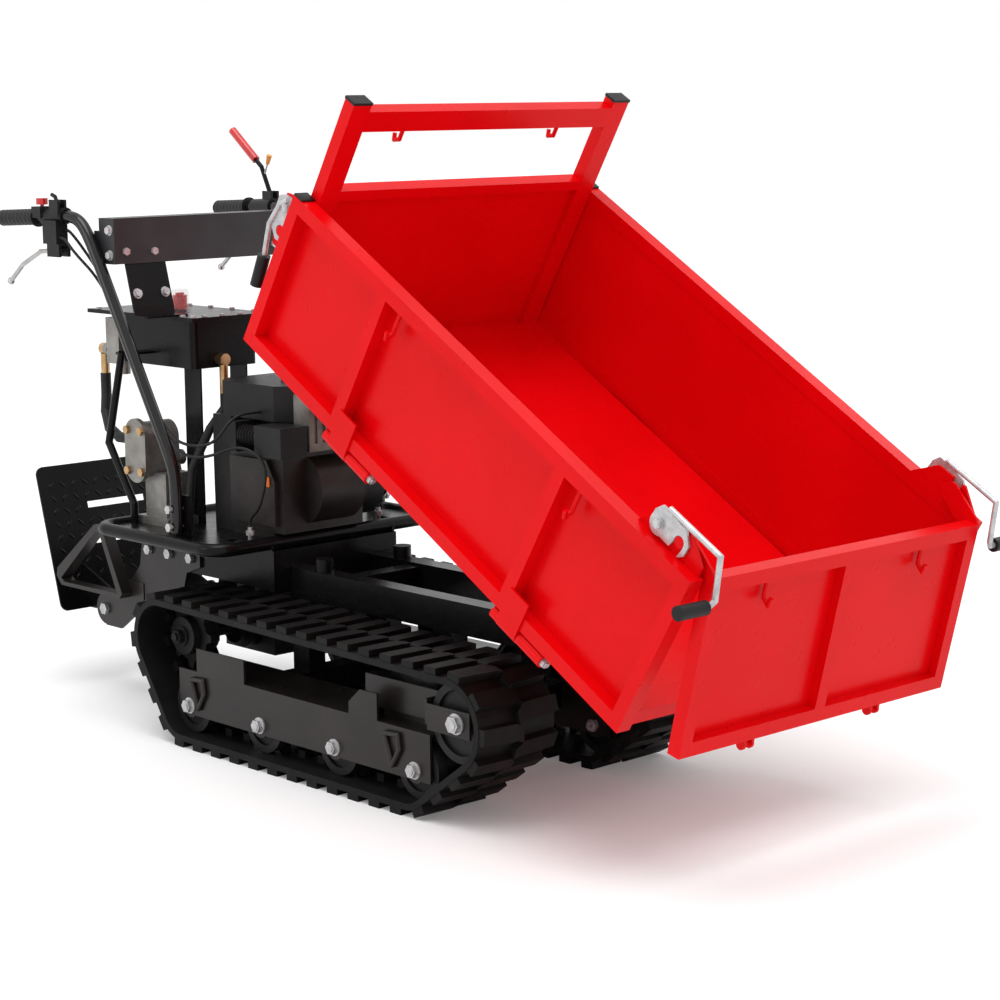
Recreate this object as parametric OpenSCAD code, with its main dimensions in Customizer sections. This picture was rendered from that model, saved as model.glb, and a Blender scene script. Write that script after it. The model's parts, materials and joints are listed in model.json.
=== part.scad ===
// Tracked power carrier: a walk-behind mini dumper on rubber tracks with a tipping drop-side bed.
// Sizes are millimetres. +X points to the dump end, +Y to the operator's left, +Z up.
// The pieces stand as they do with the bed tipped and the tailgate hanging a little open.

/* [Track] */
// Length of one tread pitch, rounded so that a whole number of lugs goes round the belt
track_pitch = 60; // [50:5:75]
// Width of each rubber belt
track_width = 180; // [160:5:200]
// Height of the tread lugs above the belt
lug_height = 13; // [8:1:16]
// Distance from the machine's middle to the middle of each belt
track_middle = 226; // [222:1:240]
// Radius of the road rollers
roller_radius = 55; // [48:1:58]
// Distance between two road rollers
roller_step = 225; // [205:5:235]

/* [Bed] */
// Outer length of the side walls
bed_length = 1097; // [1040:10:1200]
// Width over the two side walls
bed_width = 737; // [720:2:780]
// Height of the side walls
wall_height = 307; // [270:5:330]
// Wall thickness, which is the side of the frame tube
wall_tube = 30; // [28:1:34]
// Height of the headboard posts above the underside of the walls
post_height = 511; // [450:5:560]
// Angle by which the bed is tipped
tip_angle = 30.8; // [24:0.2:33]

/* [Tailgate] */
// Height of the tailgate
gate_height = 305; // [285:5:315]
// Angle by which the tailgate hangs open
gate_open = 16.8; // [10:0.2:30]

/* [Controls] */
// Height of the hand grips above the ground
grip_height = 1020; // [990:5:1060]
// Distance between the middles of the two grips
grip_spread = 560; // [544:4:600]
// Length of a rubber grip
grip_length = 120; // [100:5:130]

/* [Oil tank] */
// Height of the oil tank's body
tank_height = 98; // [80:2:110]
// Length of the oil tank's body
tank_length = 250; // [230:5:270]

/* [Platform] */
// Depth of the fold-down operator platform
platform_depth = 319; // [260:5:340]
// Width of the platform
platform_width = 380; // [350:10:430]

/* [Hidden] */
$fn = 48;
// Where the middle of the road rollers stands along the machine
tx = -9.45;
// Running clearance of a pin in its bore
fit = 0.08;

// Track: wheels that the belt runs round, each as [x, z, radius to the belt's inner face]
belt_body = 12;
roller_z = belt_body + lug_height + roller_radius;
roller_x = [for (i = [0:3]) -34.5 + (i - 1.5) * roller_step];
sprocket_x = -438;
sprocket_z = 205;
sprocket_r = 70;
idler_x = 415;
idler_z = 185;
idler_r = 74;
wheels = [
    [roller_x[0], roller_z, roller_radius],
    [roller_x[3], roller_z, roller_radius],
    [idler_x, idler_z, idler_r],
    [sprocket_x, sprocket_z, sprocket_r]
];
// Direction of the outward normal on the straight run from wheel i to the next one
function run_len(i) = norm([wheels[(i + 1) % 4][0] - wheels[i][0], wheels[(i + 1) % 4][1] - wheels[i][1]]);
function run_dir(i) = atan2(wheels[(i + 1) % 4][1] - wheels[i][1], wheels[(i + 1) % 4][0] - wheels[i][0]);
function run_normal(i) = run_dir(i) - 90 + asin((wheels[i][2] - wheels[(i + 1) % 4][2]) / run_len(i));
function wrap(a, low) = a < low ? wrap(a + 360, low) : a >= low + 360 ? wrap(a - 360, low) : a;
function arc_from(i) = run_normal((i + 3) % 4);
function arc_to(i) = wrap(run_normal(i), arc_from(i));
function straight(i) = sqrt(pow(run_len(i), 2) - pow(wheels[i][2] - wheels[(i + 1) % 4][2], 2));
function arc_len(i, d) = (arc_to(i) - arc_from(i)) * PI / 180 * (wheels[i][2] + d);
function belt_len(d) = sum4([for (i = [0:3]) arc_len(i, d) + straight(i)]);
function sum4(v) = v[0] + v[1] + v[2] + v[3];
// Point of wheel i at angle a, moved out by d
function wheel_point(i, a, d) = [
    wheels[i][0] + (wheels[i][2] + d) * cos(a),
    wheels[i][1] + (wheels[i][2] + d) * sin(a)
];
// Outline of the loop at distance d outside the wheels
arc_steps = 20;
function loop(d) = [
    for (i = [0:3])
        for (k = [0:arc_steps])
            wheel_point(i, arc_from(i) + (arc_to(i) - arc_from(i)) * k / arc_steps, d)
];
// Place s along the loop, as [x, z, angle of the outward normal]
function on_loop(s, d, i = 0) =
    s < arc_len(i, d) ? on_arc(i, arc_from(i) + s / (wheels[i][2] + d) * 180 / PI, d) :
    s < arc_len(i, d) + straight(i) ? on_run(i, (s - arc_len(i, d)) / straight(i), d) :
    i == 3 ? on_loop(0, d, 0) : on_loop(s - arc_len(i, d) - straight(i), d, i + 1);
function on_arc(i, a, d) = [wheel_point(i, a, d)[0], wheel_point(i, a, d)[1], a];
function on_run(i, f, d) = [
    wheel_point(i, arc_to(i), d)[0] * (1 - f) + wheel_point((i + 1) % 4, arc_to(i), d)[0] * f,
    wheel_point(i, arc_to(i), d)[1] * (1 - f) + wheel_point((i + 1) % 4, arc_to(i), d)[1] * f,
    arc_to(i)
];
lug_count = round(belt_len(belt_body) / track_pitch);
lug_step = belt_len(belt_body) / lug_count;
horn_step = belt_len(0) / lug_count;
// Half widths across the track, from the belt's middle
horn_in = 16;
horn_out = 28;
rim_in = 33;
rim_out = 55;
plate_in = 59;
plate_out = 64;

// Tip pivot on the chassis, and where it lies in the bed's own frame
pivot_x = 643.5;
pivot_z = 338;
pivot_u = 858.4;
pivot_w = -61.8;
pivot_r = 12;
floor_depth = 24;
half_bed = bed_width / 2;
wall_in = half_bed - wall_tube;
floor_half = wall_in - 4;
post_width = 40;
post_rear = 10;
post_front = 36;
// Wall hinge axis, below the wall near its outer face
hinge_y = half_bed - 10;
hinge_w = -16;
strap_u = [bed_length * 0.265, bed_length * 0.72];
strap_len = 50;
barrel_len = 62;
// Latch plates stand outside the ears on the walls
ear_in = wall_in + 0.5;
ear_out = ear_in + 5;
latch_in = ear_out + 0.5;
latch_out = latch_in + 4.5;
latch_arm = 48;
pin_r = 10;
pin_w = wall_height + 24.2;
gate_pin_u = bed_length - 63.5;
gate_bolt_u = gate_pin_u - latch_arm;
rear_u = -24;
rear_bolt_w = wall_height - 43;
rear_pin_w = rear_bolt_w - latch_arm;
gate_half = wall_in - 4.5;
gate_tube = 25;
gate_face = bed_length + 7;
gate_top = wall_height - 11;

// Tip cylinder: lower pivot on the chassis and the eye under the bed
ram_x = 188;
ram_z = 172;
eye_u = 615;
eye_w = -74;
eye_x = pivot_x + (eye_u - pivot_u) * cos(tip_angle) + (eye_w - pivot_w) * sin(tip_angle);
eye_z = pivot_z - (eye_u - pivot_u) * sin(tip_angle) + (eye_w - pivot_w) * cos(tip_angle);
ram_angle = atan2(eye_z - ram_z, eye_x - ram_x);
ram_length = norm([eye_x - ram_x, eye_z - ram_z]);
barrel_end = 228;

// Engine deck and rear plates
deck_rear = -690;
deck_front = -283;
deck_half = 283;
deck_top = 401;
rim_r = 13.5;
box_half = 158;
box_low = 306;
rail_in = 80;
rail_out = 120;
rail_low = 290;
rail_top = 350;
// Platform hinge and the folded plate
fold_x = -845;
fold_z = 188;
fold_lean = 15.6;

// Handlebar tubes
bar_r = 12.5;
bar_y = 262;
bar_foot = 415;
bar_x = -437;
grip_end = -1008;
bend_top = [-737, grip_height + 10];
bend_low = [-450, 560];
// Console channel between the tubes
console_face = -640;
console_half = bar_y - bar_r - 0.3;
console_top = grip_height + 7;
console_low = console_top - 92;
// Oil tank
lid_top = 828;
lid_near = -158;
lid_far = 40;
tank_near = -140;
tank_far = 22;
cap_x = -700;
cap_y = -50;
tank_front = -533;
tank_rear = tank_front - tank_length;
tank_low = lid_top - 8 - tank_height;

// Shifts a piece drawn from the middle of the road rollers into the machine's frame
module mach() {
    translate([tx, 0, 0]) children();
}

// A block between two corners
module block(x, y, z) {
    translate([x[0], y[0], z[0]]) cube([x[1] - x[0], y[1] - y[0], z[1] - z[0]]);
}

// A round bar along Y at x, z between y[0] and y[1]
module bar_along_y(x, z, y, r, fn = 48) {
    translate([x, y[0], z]) rotate([-90, 0, 0]) cylinder(h = y[1] - y[0], r = r, $fn = fn);
}

// A round bar between two points
module bar(a, b, r, fn = 32) {
    v = b - a;
    translate(a)
        rotate([0, acos(v[2] / norm(v)), atan2(v[1], v[0])])
            cylinder(h = norm(v), r = r, $fn = fn);
}

// A bent round bar through points, with ball corners a little fuller than the bar
module bent_bar(p, r, fn = 32) {
    for (i = [0:len(p) - 2]) bar(p[i], p[i + 1], r, fn);
    if (len(p) > 2) for (i = [1:len(p) - 2]) translate(p[i]) sphere(r = r * 1.03, $fn = fn);
}

// A flat sheet drawn in the X-Z plane, standing between y[0] and y[1]
module sheet_xz(y) {
    translate([0, y[1], 0]) rotate([90, 0, 0]) linear_extrude(height = y[1] - y[0]) children();
}

// A flat outline with rounded corners
module round_rect(x, y, r) {
    translate([x[0] + r, y[0]]) square([x[1] - x[0] - 2 * r, y[1] - y[0]]);
    translate([x[0], y[0] + r]) square([x[1] - x[0], y[1] - y[0] - 2 * r]);
    for (a = [x[0] + r, x[1] - r])
        for (b = [y[0] + r, y[1] - r])
            translate([a, b]) circle(r = r);
}

// The same piece on both sides of the machine
module both_sides() {
    children();
    mirror([0, 1, 0]) children();
}

// Places a piece drawn in the bed's own frame, u along the bed, w square to its floor
module on_bed() {
    translate([tx + pivot_x, 0, pivot_z])
        rotate([0, tip_angle, 0])
            translate([-pivot_u, 0, -pivot_w]) children();
}

// Places a piece drawn with the tailgate shut, swung open about its pins
module on_gate() {
    on_bed()
        translate([gate_pin_u, 0, pin_w])
            rotate([0, -gate_open, 0])
                translate([-gate_pin_u, 0, -pin_w]) children();
}

// Track belts: body, staggered tread lugs outside and two rows of guide horns inside
module lug() {
    translate([0, 0, -3])
        linear_extrude(height = lug_height + 3)
            polygon([
                [-15, 1 - track_width / 2], [15, 1 - track_width / 2], [19, -6], [24, 6], [2, 6], [-13, -10]
            ]);
}

module belt_whole() {
    sheet_xz([-track_middle - track_width / 2, -track_middle + track_width / 2])
        difference() {
            polygon(loop(belt_body));
            polygon(loop(0));
        }
    for (k = [0:lug_count - 1]) {
        a = on_loop(k * lug_step, belt_body);
        translate([a[0], -track_middle, a[1]]) rotate([0, 90 - a[2], 0]) lug();
        b = on_loop((k + 0.5) * lug_step, belt_body);
        translate([b[0], -track_middle, b[1]]) rotate([0, 90 - b[2], 0]) mirror([0, 1, 0]) lug();
        c = on_loop((k + 0.25) * horn_step, 0);
        translate([c[0], -track_middle, c[1]])
            rotate([0, 90 - c[2], 0]) {
                block([-10, 10], [horn_in, horn_out], [-15, 2]);
                block([-10, 10], [-horn_out, -horn_in], [-15, 2]);
            }
    }
}

module belt() {
    difference() {
        belt_whole();
        block([-700, 700], [-track_middle - 100, -track_middle + 100], [-20, 0]);
    }
}

module track_belt_right() {
    color([0.09, 0.09, 0.10]) mach() belt();
}

module track_belt_left() {
    color([0.09, 0.09, 0.10]) mach() mirror([0, 1, 0]) belt();
}

// A wheel with two rims and a slimmer hub, so that the guide horns pass between the rims
module grooved_wheel(x, z, r, hub, bore) {
    difference() {
        union() {
            bar_along_y(x, z, [-track_middle - rim_out, -track_middle - rim_in], r);
            bar_along_y(x, z, [-track_middle + rim_in, -track_middle + rim_out], r);
            bar_along_y(x, z, [-track_middle - rim_in, -track_middle + rim_in], hub);
            bar_along_y(x, z, [-track_middle - plate_in + 0.5, -track_middle + plate_in - 0.5], bore + 9);
        }
        bar_along_y(x, z, [-track_middle - 80, -track_middle + 80], bore);
        bar_along_y(x, z, [-track_middle - 80, -track_middle - rim_out + 7], r - 14);
        bar_along_y(x, z, [-track_middle + rim_out - 7, -track_middle + 80], r - 14);
    }
    difference() {
        bar_along_y(x, z, [-track_middle - plate_in + 0.5, -track_middle + plate_in - 0.5], bore + 9);
        bar_along_y(x, z, [-track_middle - 80, -track_middle + 80], bore);
    }
}

module roller_pair(i) {
    mach() both_sides() grooved_wheel(roller_x[i], roller_z, roller_radius - 0.5, roller_radius - 19, 8 + fit);
}

module road_rollers_1() {
    color([0.12, 0.12, 0.13]) roller_pair(0);
}

module road_rollers_2() {
    color([0.12, 0.12, 0.13]) roller_pair(1);
}

module road_rollers_3() {
    color([0.12, 0.12, 0.13]) roller_pair(2);
}

module road_rollers_4() {
    color([0.12, 0.12, 0.13]) roller_pair(3);
}

module idler_wheels() {
    color([0.12, 0.12, 0.13])
        mach() both_sides() grooved_wheel(idler_x, idler_z, idler_r - 0.5, idler_r - 19, 10 + fit);
}

// Drive sprocket: toothed disc, hub and the axle that runs into the gearbox
module sprocket() {
    teeth = 8;
    sheet_xz([-track_middle - 11, -track_middle + 11])
        translate([sprocket_x, sprocket_z])
            union() {
                circle(r = sprocket_r - 16, $fn = 64);
                for (k = [0:teeth - 1])
                    rotate(k * 360 / teeth)
                        polygon([[40, -16], [sprocket_r - 1.5, -6], [sprocket_r - 1.5, 6], [40, 16]]);
            }
    bar_along_y(sprocket_x, sprocket_z, [-track_middle - 30, -track_middle + 34], 38);
    bar_along_y(sprocket_x, sprocket_z, [-track_middle + 30, -112], 14);
    bar_along_y(sprocket_x, sprocket_z, [-track_middle - 34, -track_middle - 30], 20);
    bar_along_y(sprocket_x, sprocket_z, [-track_middle - 46, -track_middle - 34], 14, 6);
    bar_along_y(sprocket_x, sprocket_z, [-track_middle - 52, -track_middle - 46], 8);
}

module drive_sprocket_right() {
    color([0.18, 0.18, 0.19]) mach() sprocket();
}

module drive_sprocket_left() {
    color([0.18, 0.18, 0.19]) mach() mirror([0, 1, 0]) sprocket();
}

// Track frame: inverted channel over the rollers, idler guide, brackets and lashing loops
frame_front = roller_x[3] + 42;
frame_rear = roller_x[0] - 33;
frame_low = roller_z - 18;
frame_top = 152;
guide_low = 171;
guide_top = 219;
module track_frame() {
    m = -track_middle;
    difference() {
        union() {
            block([frame_rear, frame_front], [m - plate_out, m - plate_in], [frame_low, frame_top]);
            block([frame_rear, frame_front], [m + plate_in, m + plate_out], [frame_low, frame_top]);
            block([frame_rear + 40, frame_front], [m - plate_in, m + plate_in], [frame_top - 5, frame_top]);
            for (x = roller_x)
                bar_along_y(x, roller_z, [m - plate_out, m - plate_in], 24);
            for (x = roller_x)
                bar_along_y(x, roller_z, [m + plate_in, m + plate_out], 24);
        }
        for (x = roller_x)
            bar_along_y(x, roller_z, [m - 80, m + 80], 8 + fit);
    }
    block([-346, -194], [m - plate_out, m - plate_out + 5], [frame_top, 199]);
    sheet_xz([m - plate_out, m - plate_out + 5])
        polygon([[121, frame_top], [201, frame_top], [201, 202], [153, 202], [121, 174]]);
    difference() {
        block([150, 332], [m - 30, m + 30], [guide_low - 5, guide_top + 5]);
        block([149, 333], [m - 25, m + 25], [guide_low, guide_top]);
    }
    block([170, 310], [m - 20, m + 20], [frame_top, guide_low - 5]);
    block([130, 150], [m - 30, m + 30], [frame_top, guide_top + 5]);
    for (x = [roller_x[0] + 28, roller_x[3] - 62])
        bent_bar([
            [x - 14, m - plate_out - 4, 136], [x + 22, m - plate_out - 4, 138],
            [x + 26, m - plate_out - 4, 112], [x + 6, m - plate_out - 4, 80],
            [x - 14, m - plate_out - 4, 132]
        ], 5);
}

module track_frame_right() {
    color([0.20, 0.18, 0.18]) mach() track_frame();
}

module track_frame_left() {
    color([0.20, 0.18, 0.18]) mach() mirror([0, 1, 0]) track_frame();
}

// Idler yokes: a fork that carries the idler axle, on a stem in the square guide
module idler_yokes() {
    m = -track_middle;
    color([0.20, 0.18, 0.18])
        mach() both_sides()
            difference() {
                union() {
                    block([333, 338], [m - plate_out, m + plate_out], [guide_low, guide_top - 2]);
                    block([338, 449], [m - plate_out, m - plate_in], [idler_z - 24, idler_z + 24]);
                    block([338, 449], [m + plate_in, m + plate_out], [idler_z - 24, idler_z + 24]);
                    block([170, 333], [m - 24, m + 24], [guide_low + 1, guide_top - 1]);
                }
                bar_along_y(idler_x, idler_z, [m - 80, m + 80], 10 + fit);
            }
}

// Main frame: two rails, cross members to the track frames and the tip pivot lugs
module main_frame() {
    color([0.13, 0.13, 0.14])
        mach() {
            difference() {
                both_sides()
                    union() {
                        block([-262, 604], [rail_in, rail_out], [rail_low, rail_top]);
                        sheet_xz([rail_in - 1, rail_in + 12])
                            union() {
                                polygon([[540, rail_low], [604, rail_low], [pivot_x + 12, pivot_z - 19],
                                    [pivot_x + 12, pivot_z + 19], [604, rail_top], [540, rail_top]]);
                                translate([pivot_x, pivot_z]) circle(r = 22);
                            }
                        for (x = [-230, 190])
                            block([x - 25, x + 25], [rail_in, rail_out], [146, rail_low]);
                    }
                bar_along_y(pivot_x, pivot_z, [-200, 200], pivot_r + fit);
            }
            for (x = [-230, 190])
                block([x - 25, x + 25], [-track_middle + plate_out, track_middle - plate_out], [100, 146]);
            for (x = [-120, 470])
                block([x - 20, x + 20], [-rail_in, rail_in], [rail_low, rail_top - 6]);
            both_sides() {
                block([-262, -257], [rail_out, 146], [rail_low + 18, rail_top]);
                bar([-176, 100, rail_top], [-176, 100, pivot_z - pivot_w - floor_depth - 1], 18);
            }
            both_sides()
                difference() {
                    union() {
                        block([ram_x - 22, ram_x + 22], [17, 25], [146, ram_z]);
                        bar_along_y(ram_x, ram_z, [17, 25], 22);
                    }
                    bar_along_y(ram_x, ram_z, [-40, 40], 10 + fit);
                }
        }
}

// Engine deck: plate with a round tube rim, box frame under it and brackets for the handlebar
module engine_deck() {
    c = 42;
    color([0.13, 0.13, 0.14])
        mach() {
            difference() {
                block([deck_rear + 9, deck_front - 9], [-deck_half, deck_half], [deck_top - 5, deck_top]);
                for (y = [-190, 190])
                    block([-360, -310], [y - 9, y + 9], [deck_top - 20, deck_top + 20]);
            }
            both_sides() {
                bar([deck_rear + c, deck_half, deck_top - 3], [deck_front - c, deck_half, deck_top - 3], rim_r);
                translate([deck_rear + c, deck_half - c, deck_top - 3])
                    rotate([0, 0, 90]) rotate_extrude(angle = 90) translate([c, 0]) circle(r = rim_r);
                translate([deck_front - c, deck_half - c, deck_top - 3])
                    rotate_extrude(angle = 90) translate([c, 0]) circle(r = rim_r);
                difference() {
                    block([bar_x - 22, bar_x + 22], [bar_y - bar_r - 5.3, bar_y - bar_r - 0.3], [deck_top, deck_top + 88]);
                    for (z = [deck_top + 26, deck_top + 62])
                        bar_along_y(bar_x, z, [bar_y - 40, bar_y], 5 + fit);
                }
                block([deck_rear + 30, -268], [box_half - 5, box_half], [box_low, deck_top - 5]);
            }
            for (x = [deck_rear, deck_front])
                bar([x, -deck_half + c, deck_top - 3], [x, deck_half - c, deck_top - 3], rim_r);
            difference() {
                block([-267, -262], [-box_half, box_half], [box_low - 6, deck_top - 16]);
                block([-280, -250], [-28, 28], [box_low - 10, box_low + 14]);
            }
            block([-268, -267], [-box_half, box_half], [box_low, deck_top - 16]);
        }
}

// Rear side plates: carry the gearbox, the platform hinge and the loops in front of the folded platform
module rear_side_plates() {
    color([0.20, 0.18, 0.18])
        mach() both_sides() {
            difference() {
                sheet_xz([box_half, box_half + 6])
                    union() {
                        polygon([
                            [-700, 362], [-500, 362], [-500, 322], [-546, 306], [-566, 246], [-700, 214],
                            [-790, 152], [fold_x, 152], [fold_x - 32, fold_z], [fold_x, 226], [-760, 250], [-712, 300]
                        ]);
                        translate([fold_x, fold_z]) circle(r = 34);
                    }
                bar_along_y(fold_x, fold_z, [100, 200], 8 + fit);
                for (x = [-676, -605, -530])
                    bar_along_y(x, 338, [100, 200], 6 + fit);
            }
            sheet_xz([box_half + 6, box_half + 34])
                difference() {
                    polygon([[-989, 244], [-986, 262], [-838, 374], [-812, 372], [-742, 238], [-752, 226], [-972, 226]]);
                    polygon([[-972, 242], [-834, 360], [-820, 358], [-760, 236], [-960, 234]]);
                }
            block([-752, -700], [box_half + 6, box_half + 8], [226, 262]);
        }
}

// Gearbox between the side plates, with the axle journals to both sprockets
module gearbox() {
    color([0.16, 0.16, 0.17])
        mach() {
            difference() {
                union() {
                    block([-520, -356], [-88, 88], [150, 300]);
                    block([-530, -346], [-96, 96], [214, 226]);
                    block([-560, -340], [-100, 100], [300, 396]);
                    bar_along_y(sprocket_x, sprocket_z, [-132, 132], 34);
                    bar_along_y(sprocket_x, sprocket_z, [-112, 112], 46);
                }
                bar_along_y(sprocket_x, sprocket_z, [-140, -108], 14 + fit);
                bar_along_y(sprocket_x, sprocket_z, [108, 140], 14 + fit);
            }
            both_sides()
                for (z = [330, 372])
                    block([-545, -515], [100, box_half - 5], [z - 8, z + 8]);
        }
}

// Bolts: roller and idler axles with nuts, pivot pins, platform pin and the large frame screws
module axle_bolt(x, z, r, hex) {
    m = -track_middle;
    bar_along_y(x, z, [m - plate_out - 14, m + plate_out + 14], r);
    bar_along_y(x, z, [m - plate_out - 2.5, m - plate_out], hex + 3);
    bar_along_y(x, z, [m - plate_out - 12, m - plate_out - 2.5], hex, 6);
    bar_along_y(x, z, [m + plate_out, m + plate_out + 9], hex, 6);
}

module screw_y(x, y, z, hex, tall) {
    bar_along_y(x, z, [y - tall, y], hex, 6);
}

module chassis_bolts() {
    m = -track_middle;
    color([0.78, 0.78, 0.80])
        mach() {
            both_sides() {
                for (x = roller_x) axle_bolt(x, roller_z, 8, 13);
                axle_bolt(idler_x, idler_z, 10, 16);
                bar_along_y(fold_x, fold_z, [-box_half - 14, -100], 8);
                bar_along_y(fold_x, fold_z, [-box_half - 14, -box_half - 6], 13, 6);
                for (x = [-676, -605, -530]) {
                    bar_along_y(x, 338, [-box_half - 6, -box_half], 6);
                    screw_y(x, -box_half - 6, 338, 11, 8);
                }
                bar_along_y(pivot_x, pivot_z, [-105, -60], pivot_r);
                bar_along_y(pivot_x, pivot_z, [-111, -105], pivot_r + 5);
                for (z = [deck_top + 26, deck_top + 62]) {
                    bar_along_y(bar_x, z, [-bar_y - bar_r - 4, -bar_y + bar_r + 10], 5);
                    screw_y(bar_x, -bar_y - bar_r - 4, z, 9, 6);
                }
                for (p = [[-676, console_top - 83], [-700, console_top - 44]])
                    bar_along_y(p[0], p[1], [-console_half + 2.5, -console_half + 8], 8, 6);
                for (p = [[-222, -67], [-153, -69]])
                    translate([console_face, p[0], console_top + p[1]])
                        rotate([0, 90, 0]) cylinder(h = 6, r = 8, $fn = 6);
            }
            for (x = [tank_rear - 70, tank_rear + 5, tank_rear + 80, tank_rear + 155, tank_front - 20, tank_front + 14])
                for (y = [lid_near + 9, lid_far - 9])
                    translate([x, y, lid_top]) cylinder(h = 4, r = 6, $fn = 6);
            for (y = [-120, -75, -30])
                translate([tank_front + 14, y, lid_top]) cylinder(h = 4, r = 6, $fn = 6);
            bar_along_y(ram_x, ram_z, [-31, 31], 10);
            for (y = [-165, 165]) {
                translate([-326, y, deck_top]) cylinder(h = 26, r = 5);
                translate([-326, y, deck_top + 10]) cylinder(h = 9, r = 9, $fn = 6);
            }
        }
}

// Engine: crankcase with foot and side covers, finned cylinder and head
module engine_block() {
    color([0.15, 0.15, 0.16])
        mach() {
            block([-430, -300], [-125, 90], [deck_top, deck_top + 14]);
            block([-430, -262], [-130, 70], [deck_top + 14, 572]);
            sheet_xz([-142, -130])
                polygon([[-418, 430], [-275, 430], [-275, 520], [-300, 560], [-418, 560]]);
            bar_along_y(-285, 497, [-70, 40], 70);
            block([-420, -280], [-60, 60], [572, 620]);
            for (k = [0:3])
                block([-432, -280], [-72, 68], [578 + k * 11, 582 + k * 11]);
        }
}

// Drive column beside the engine, and the fan cowl with the pull starter on the operator's left
module engine_cowl() {
    color([0.10, 0.10, 0.11])
        mach() {
            sheet_xz([-120, -30])
                polygon([[-500, 634], [-440, 634], [-433, 600], [-433, 575], [-430, 560], [-430, deck_top],
                    [-500, deck_top], [-502, 540]]);
            difference() {
                union() {
                    bar_along_y(-345, 500, [70, 134], 82, 64);
                    bar_along_y(-345, 500, [134, 152], 62, 64);
                }
                bar_along_y(-345, 500, [69, 128], 78, 64);
                for (k = [0:11])
                    translate([-345, 146, 500])
                        rotate([0, k * 30, 0]) block([26, 52], [0, 8], [-4, 4]);
            }
        }
}

// Fuel tank above the engine with a round cap
module fuel_tank() {
    color([0.07, 0.07, 0.08])
        mach() {
            translate([0, 0, 634])
                linear_extrude(height = 70)
                    polygon([[-495, -90], [-465, -120], [-300, -120], [-270, -90], [-270, 60], [-495, 60]]);
            block([-410, -300], [-50, 50], [620, 634]);
            translate([-360, -20, 704]) cylinder(h = 14, r = 26);
        }
}

// Air cleaner with its ribbed intake hose to the carburettor
module air_cleaner() {
    color([0.06, 0.06, 0.07])
        mach() {
            block([-300, -216], [-170, -104], [572, 632]);
            block([-392, -372], [-160, -110], [572, 632]);
            translate([-375, -140, 606])
                rotate([0, 90, 0])
                    rotate_extrude()
                        polygon(concat(
                            [[12, 0], [16, 0]],
                            [for (k = [0:7]) for (p = [[16, 4], [20, 6], [20, 8], [16, 10]]) [p[0], p[1] + k * 9]],
                            [[16, 78], [12, 78]]
                        ));
        }
}

// Muffler in a slotted guard at the front of the head
module muffler() {
    color([0.45, 0.44, 0.43])
        mach()
            difference() {
                union() {
                    block([-262, -214], [-100, 60], [580, 690]);
                    block([-280, -262], [-20, 20], [585, 612]);
                }
                for (k = [0:6])
                    block([-217, -200], [-88 + k * 20, -80 + k * 20], [596, 674]);
            }
}

// Hydraulic gear pump with its oval end cover, on a cast mount
module hydraulic_pump() {
    color([0.42, 0.41, 0.39])
        mach() {
            block([-668, -560], [-196, -120], [deck_top, deck_top + 16]);
            block([-650, -578], [-186, -124], [deck_top + 16, 508]);
            sheet_xz([-206, -130])
                union() {
                    translate([-640, 530]) circle(r = 34);
                    translate([-640, 578]) circle(r = 34);
                    translate([-674, 530]) square([68, 48]);
                }
            sheet_xz([-216, -206])
                union() {
                    translate([-640, 524]) circle(r = 36);
                    translate([-640, 584]) circle(r = 36);
                    translate([-676, 524]) square([72, 60]);
                }
            bar_along_y(-640, 530, [-130, -100], 16);
            translate([-700, -168, 566]) rotate([0, 90, 0]) cylinder(h = 30, r = 14);
        }
}

// Spool valve behind the oil tank
module valve_block() {
    color([0.45, 0.44, 0.42])
        mach() {
            block([tank_rear - 46, tank_rear], [-150, -92], [tank_low - 6, lid_top - 16]);
            translate([tank_rear - 23, -121, tank_low - 30]) cylinder(h = 24, r = 12);
            translate([tank_rear - 60, -138, tank_low + 22]) rotate([0, 90, 0]) cylinder(h = 14, r = 13);
            translate([tank_rear - 54, -104, tank_low + 60]) rotate([0, 90, 0]) cylinder(h = 8, r = 9, $fn = 6);
        }
}

// Oil tank: welded box with a flange round its open top
module oil_tank() {
    color([0.05, 0.05, 0.06])
        mach()
            difference() {
                union() {
                    translate([0, 0, tank_low])
                        linear_extrude(height = tank_height)
                            round_rect([tank_rear, tank_front], [tank_near, tank_far], 12);
                    block([tank_rear - 100, tank_front + 24], [lid_near, lid_far], [lid_top - 8, lid_top - 4]);
                }
                block([tank_rear + 5, tank_front - 5], [tank_near + 5, tank_far - 5], [tank_low + 5, lid_top]);
            }
}

// Oil tank lid
module tank_lid() {
    color([0.06, 0.06, 0.07])
        mach()
            difference() {
                block([tank_rear - 100, tank_front + 24], [lid_near, lid_far], [lid_top - 4, lid_top]);
                translate([cap_x, cap_y, lid_top - 10]) cylinder(h = 20, r = 14 + fit);
            }
}

// Filler and breather cap: a clear cup over a red insert
module filler_cap() {
    color([0.75, 0.12, 0.12])
        mach() translate([cap_x, cap_y, lid_top]) {
            cylinder(h = 7, r = 23);
            translate([0, 0, -12]) cylinder(h = 12, r = 14);
            translate([0, 0, 7]) cylinder(h = 38, r = 21);
        }
}

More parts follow.
